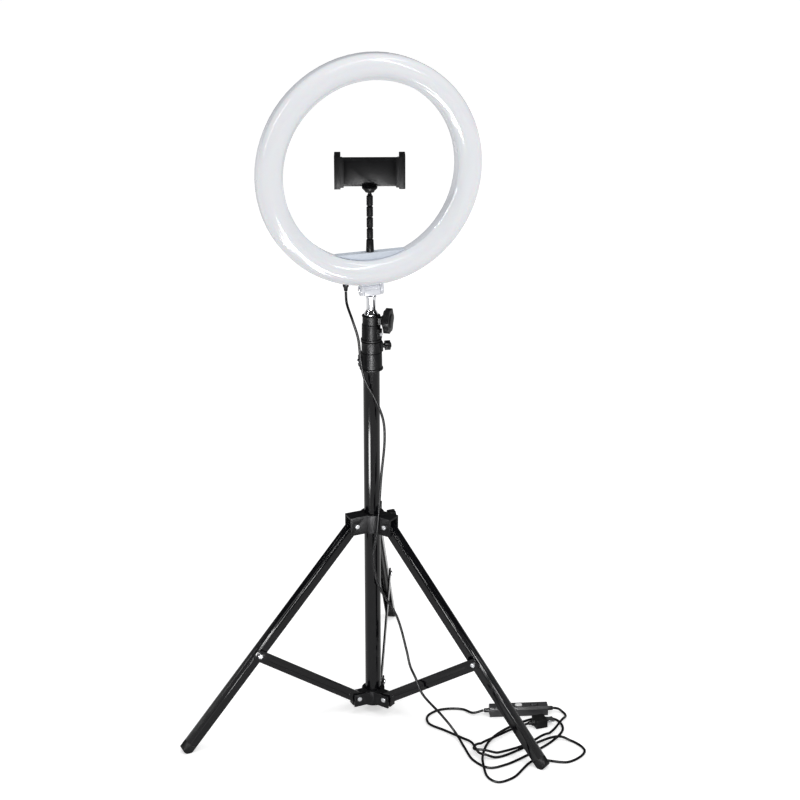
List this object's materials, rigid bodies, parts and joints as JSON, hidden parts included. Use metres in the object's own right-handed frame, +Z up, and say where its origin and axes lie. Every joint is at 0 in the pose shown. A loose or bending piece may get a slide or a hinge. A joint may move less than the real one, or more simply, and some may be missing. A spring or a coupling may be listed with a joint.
{
  "type": "ring light stand",
  "caption": "Ring-shaped light with a phone clamp inside it, on a telescopic column with folding channel legs, a corded controller and a plug",
  "frame": {"origin": "middle of the bounding box of the stand and light, without the cord and what is on it, on the floor", "axes": "+Z up the column, -Y the side the light faces"},
  "size_m": [0.5478, 0.4859, 0.926],
  "materials": {
    "white_plastic": "glossy white moulding",
    "diffuser_plastic": "smooth milky diffuser",
    "board": "matt white circuit board",
    "black_paint": "glossy black paint",
    "black_plastic": "satin black moulding",
    "black_rubber": "satin black rubber",
    "chrome": "polished chrome",
    "bright_steel": "plated steel",
    "button_plastic": "light grey button"
  },
  "bodies": {
    "root": {"outer_tube": "black_paint", "lower_collar": "black_plastic", "lower_lug_screw": "bright_steel", "base_hub": "black_plastic", "strut_pin_1": "bright_steel", "strut_pin_2": "bright_steel", "strut_pin_3": "bright_steel", "cord_main": "black_rubber", "cord_tail": "black_rubber", "controller_case": "black_plastic", "plug_body": "black_rubber", "plug_shell": "bright_steel"},
    "mid_section": {"mid_tube": "black_paint", "upper_collar": "black_plastic", "upper_lug_screw": "bright_steel"},
    "top_section": {"top_tube": "black_paint", "spigot": "chrome"},
    "pan_block": {"tilt_block": "white_plastic"},
    "ring_head": {"rear_shell": "white_plastic", "diffuser": "diffuser_plastic", "led_board": "board", "mount_shelf": "white_plastic", "cable_gland": "black_rubber", "tilt_pin": "bright_steel", "gooseneck_ferrule": "black_plastic"},
    "neck_1": {"gooseneck_1": "black_plastic"},
    "neck_2": {"gooseneck_2": "black_plastic"},
    "neck_3": {"gooseneck_3": "black_plastic"},
    "neck_4": {"gooseneck_4": "black_plastic", "swivel_ball": "black_plastic"},
    "swivel": {"swivel_cup": "black_plastic"},
    "clamp": {"clamp_body": "black_plastic", "jaw_pad_fixed": "black_rubber"},
    "jaw": {"clamp_jaw": "black_plastic", "jaw_pad_moving": "black_rubber"},
    "upper_knob": {"upper_knob": "black_plastic"},
    "lower_knob": {"lower_knob": "black_plastic"},
    "hub_knob": {"hub_knob": "black_plastic"},
    "hub": {"sliding_hub": "black_plastic", "leg_pin_1": "bright_steel", "leg_pin_2": "bright_steel", "leg_pin_3": "bright_steel"},
    "button_power": {"button_power": "button_plastic"},
    "button_colour": {"button_colour": "button_plastic"},
    "button_bright": {"button_bright": "black_plastic"},
    "leg_1": {"leg_1": "black_paint", "foot_1": "black_rubber"},
    "strut_1": {"strut_1": "black_paint", "strut_rivet_1": "bright_steel"},
    "leg_2": {"leg_2": "black_paint", "foot_2": "black_rubber"},
    "strut_2": {"strut_2": "black_paint", "strut_rivet_2": "bright_steel"},
    "leg_3": {"leg_3": "black_paint", "foot_3": "black_rubber"},
    "strut_3": {"strut_3": "black_paint", "strut_rivet_3": "bright_steel"}
  },
  "joints": [
    {"name": "column_extend", "type": "slide", "parent": "root", "child": "top_section", "axis": [0, 0, 1], "range_m": [0, 0.84], "deforming": ["cord_main"]},
    {"name": "mid_extend", "type": "slide", "parent": "root", "child": "mid_section", "axis": [0, 0, 1], "range_m": [0, 0.42]},
    {"name": "stand_fold", "type": "slide", "parent": "root", "child": "hub", "axis": [0, 0, 1], "range_m": [0, 0.13065], "deforming": ["cord_main", "cord_tail"]},
    {"name": "leg_hinge_1", "type": "hinge", "parent": "hub", "child": "leg_1", "pos_m": [0.01628, -0.02953, 0.29], "axis": [-0.9951, 0.0993, 0], "range_deg": [0, 41.35]},
    {"name": "leg_hinge_2", "type": "hinge", "parent": "hub", "child": "leg_2", "pos_m": [-0.01101, -0.06751, 0.29], "axis": [0.4115, -0.9114, 0], "range_deg": [0, 41.35]},
    {"name": "leg_hinge_3", "type": "hinge", "parent": "hub", "child": "leg_3", "pos_m": [0.03553, -0.07216, 0.29], "axis": [0.5835, 0.8121, 0], "range_deg": [0, 41.35]},
    {"name": "strut_hinge_1", "type": "hinge", "parent": "root", "child": "strut_1", "pos_m": [0.01628, -0.02953, 0.026], "axis": [0.9951, -0.0993, 0], "range_deg": [0, 55.46]},
    {"name": "strut_hinge_2", "type": "hinge", "parent": "root", "child": "strut_2", "pos_m": [-0.01101, -0.06751, 0.026], "axis": [-0.4115, 0.9114, 0], "range_deg": [0, 55.46]},
    {"name": "strut_hinge_3", "type": "hinge", "parent": "root", "child": "strut_3", "pos_m": [0.03553, -0.07216, 0.026], "axis": [-0.5835, -0.8121, 0], "range_deg": [0, 55.46]},
    {"name": "head_pan", "type": "hinge", "parent": "top_section", "child": "pan_block", "pos_m": [0.0136, -0.0564, 0.6], "axis": [0, 0, 1], "range_deg": [-45, 45], "deforming": ["cord_main"]},
    {"name": "head_tilt", "type": "hinge", "parent": "pan_block", "child": "ring_head", "pos_m": [0.0136, -0.0564, 0.6195], "axis": [0.9472, 0.3206, 0], "range_deg": [-60, 60], "deforming": ["cord_main"]},
    {"name": "gooseneck_bend", "type": "hinge", "parent": "ring_head", "child": "neck_1", "pos_m": [0.01264, -0.05356, 0.686], "axis": [0.9472, 0.3206, 0], "range_deg": [-12, 12]},
    {"name": "gooseneck_bend_2", "type": "hinge", "parent": "neck_1", "child": "neck_2", "pos_m": [0.01264, -0.05356, 0.7005], "axis": [0.9472, 0.3206, 0], "range_deg": [-12, 12]},
    {"name": "gooseneck_bend_3", "type": "hinge", "parent": "neck_2", "child": "neck_3", "pos_m": [0.01264, -0.05356, 0.715], "axis": [0.9472, 0.3206, 0], "range_deg": [-12, 12]},
    {"name": "gooseneck_bend_4", "type": "hinge", "parent": "neck_3", "child": "neck_4", "pos_m": [0.01264, -0.05356, 0.7295], "axis": [0.9472, 0.3206, 0], "range_deg": [-12, 12]},
    {"name": "phone_tilt", "type": "hinge", "parent": "neck_4", "child": "swivel", "pos_m": [0.01264, -0.05356, 0.749], "axis": [0.9472, 0.3206, 0], "range_deg": [-20, 20]},
    {"name": "phone_turn", "type": "hinge", "parent": "swivel", "child": "clamp", "pos_m": [0.01264, -0.05356, 0.755], "axis": [0, 0, 1], "range_deg": [-90, 90]},
    {"name": "clamp_open", "type": "slide", "parent": "clamp", "child": "jaw", "axis": [1, 0, 0], "range_m": [0, 0.028]},
    {"name": "upper_knob_turn", "type": "hinge", "parent": "mid_section", "child": "upper_knob", "pos_m": [0.03166, -0.06124, 0.5776], "axis": [0.9659, -0.2588, 0], "range_deg": [0, 360]},
    {"name": "lower_knob_turn", "type": "hinge", "parent": "root", "child": "lower_knob", "pos_m": [0.03133, -0.05327, 0.5407], "axis": [0.9848, 0.1736, 0], "range_deg": [0, 360]},
    {"name": "hub_knob_turn", "type": "hinge", "parent": "hub", "child": "hub_knob", "pos_m": [0.03547, -0.04652, 0.293], "axis": [0.9114, 0.4115, 0], "range_deg": [0, 360]},
    {"name": "press_power", "type": "slide", "parent": "root", "child": "button_power", "axis": [0, 0, -1], "range_m": [0, 0.001], "stiffness_N_per_m": 400, "springref_m": -0.0004},
    {"name": "press_colour", "type": "slide", "parent": "root", "child": "button_colour", "axis": [0, 0, -1], "range_m": [0, 0.001], "stiffness_N_per_m": 400, "springref_m": -0.0004},
    {"name": "press_bright", "type": "slide", "parent": "root", "child": "button_bright", "axis": [0, 0, -1], "range_m": [0, 0.001], "stiffness_N_per_m": 400, "springref_m": -0.0004}
  ],
  "couplings": [
    {"joint": "mid_extend", "follows": "column_extend", "ratio": 0.5},
    {"joint": "leg_hinge_1", "follows": "stand_fold", "rad_per_m": 5.5238},
    {"joint": "leg_hinge_2", "follows": "stand_fold", "rad_per_m": 5.5238},
    {"joint": "leg_hinge_3", "follows": "stand_fold", "rad_per_m": 5.5238},
    {"joint": "strut_hinge_1", "follows": "stand_fold", "rad_per_m": 7.4083},
    {"joint": "strut_hinge_2", "follows": "stand_fold", "rad_per_m": 7.4083},
    {"joint": "strut_hinge_3", "follows": "stand_fold", "rad_per_m": 7.4083},
    {"joint": "gooseneck_bend_2", "follows": "gooseneck_bend", "ratio": 1},
    {"joint": "gooseneck_bend_3", "follows": "gooseneck_bend", "ratio": 1},
    {"joint": "gooseneck_bend_4", "follows": "gooseneck_bend", "ratio": 1}
  ]
}
